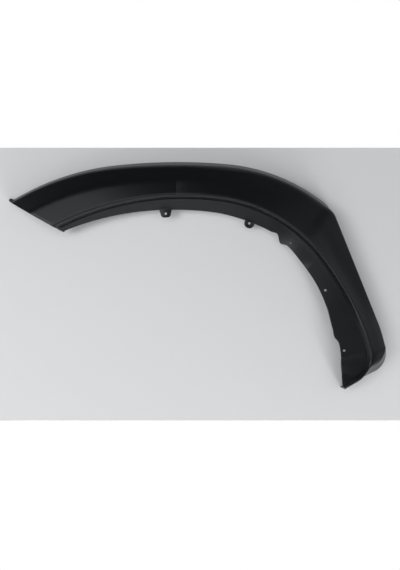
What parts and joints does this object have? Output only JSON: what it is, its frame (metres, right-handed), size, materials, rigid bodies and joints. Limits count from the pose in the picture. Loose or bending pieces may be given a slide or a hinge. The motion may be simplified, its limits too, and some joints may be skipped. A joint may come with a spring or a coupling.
{
  "type": "wheel arch trim",
  "caption": "One-piece moulded wheel arch trim: a curved shell with a rolled outer face, a raised edge round the wheel opening and a drilled inner flange with screw tabs.",
  "frame": {"origin": "middle of the part's plan outline, at the height of the rim that lies against the car's body", "axes": "+X towards the rear of the car, +Y up as fitted, +Z outboard, away from the body; the trim lies face up on its rim"},
  "size_m": [0.9506, 0.5692, 0.0658],
  "materials": {
    "arch_plastic": "black moulded plastic with a fine satin grain"
  },
  "bodies": {
    "root": {"arch_trim": "arch_plastic"}
  },
  "joints": []
}
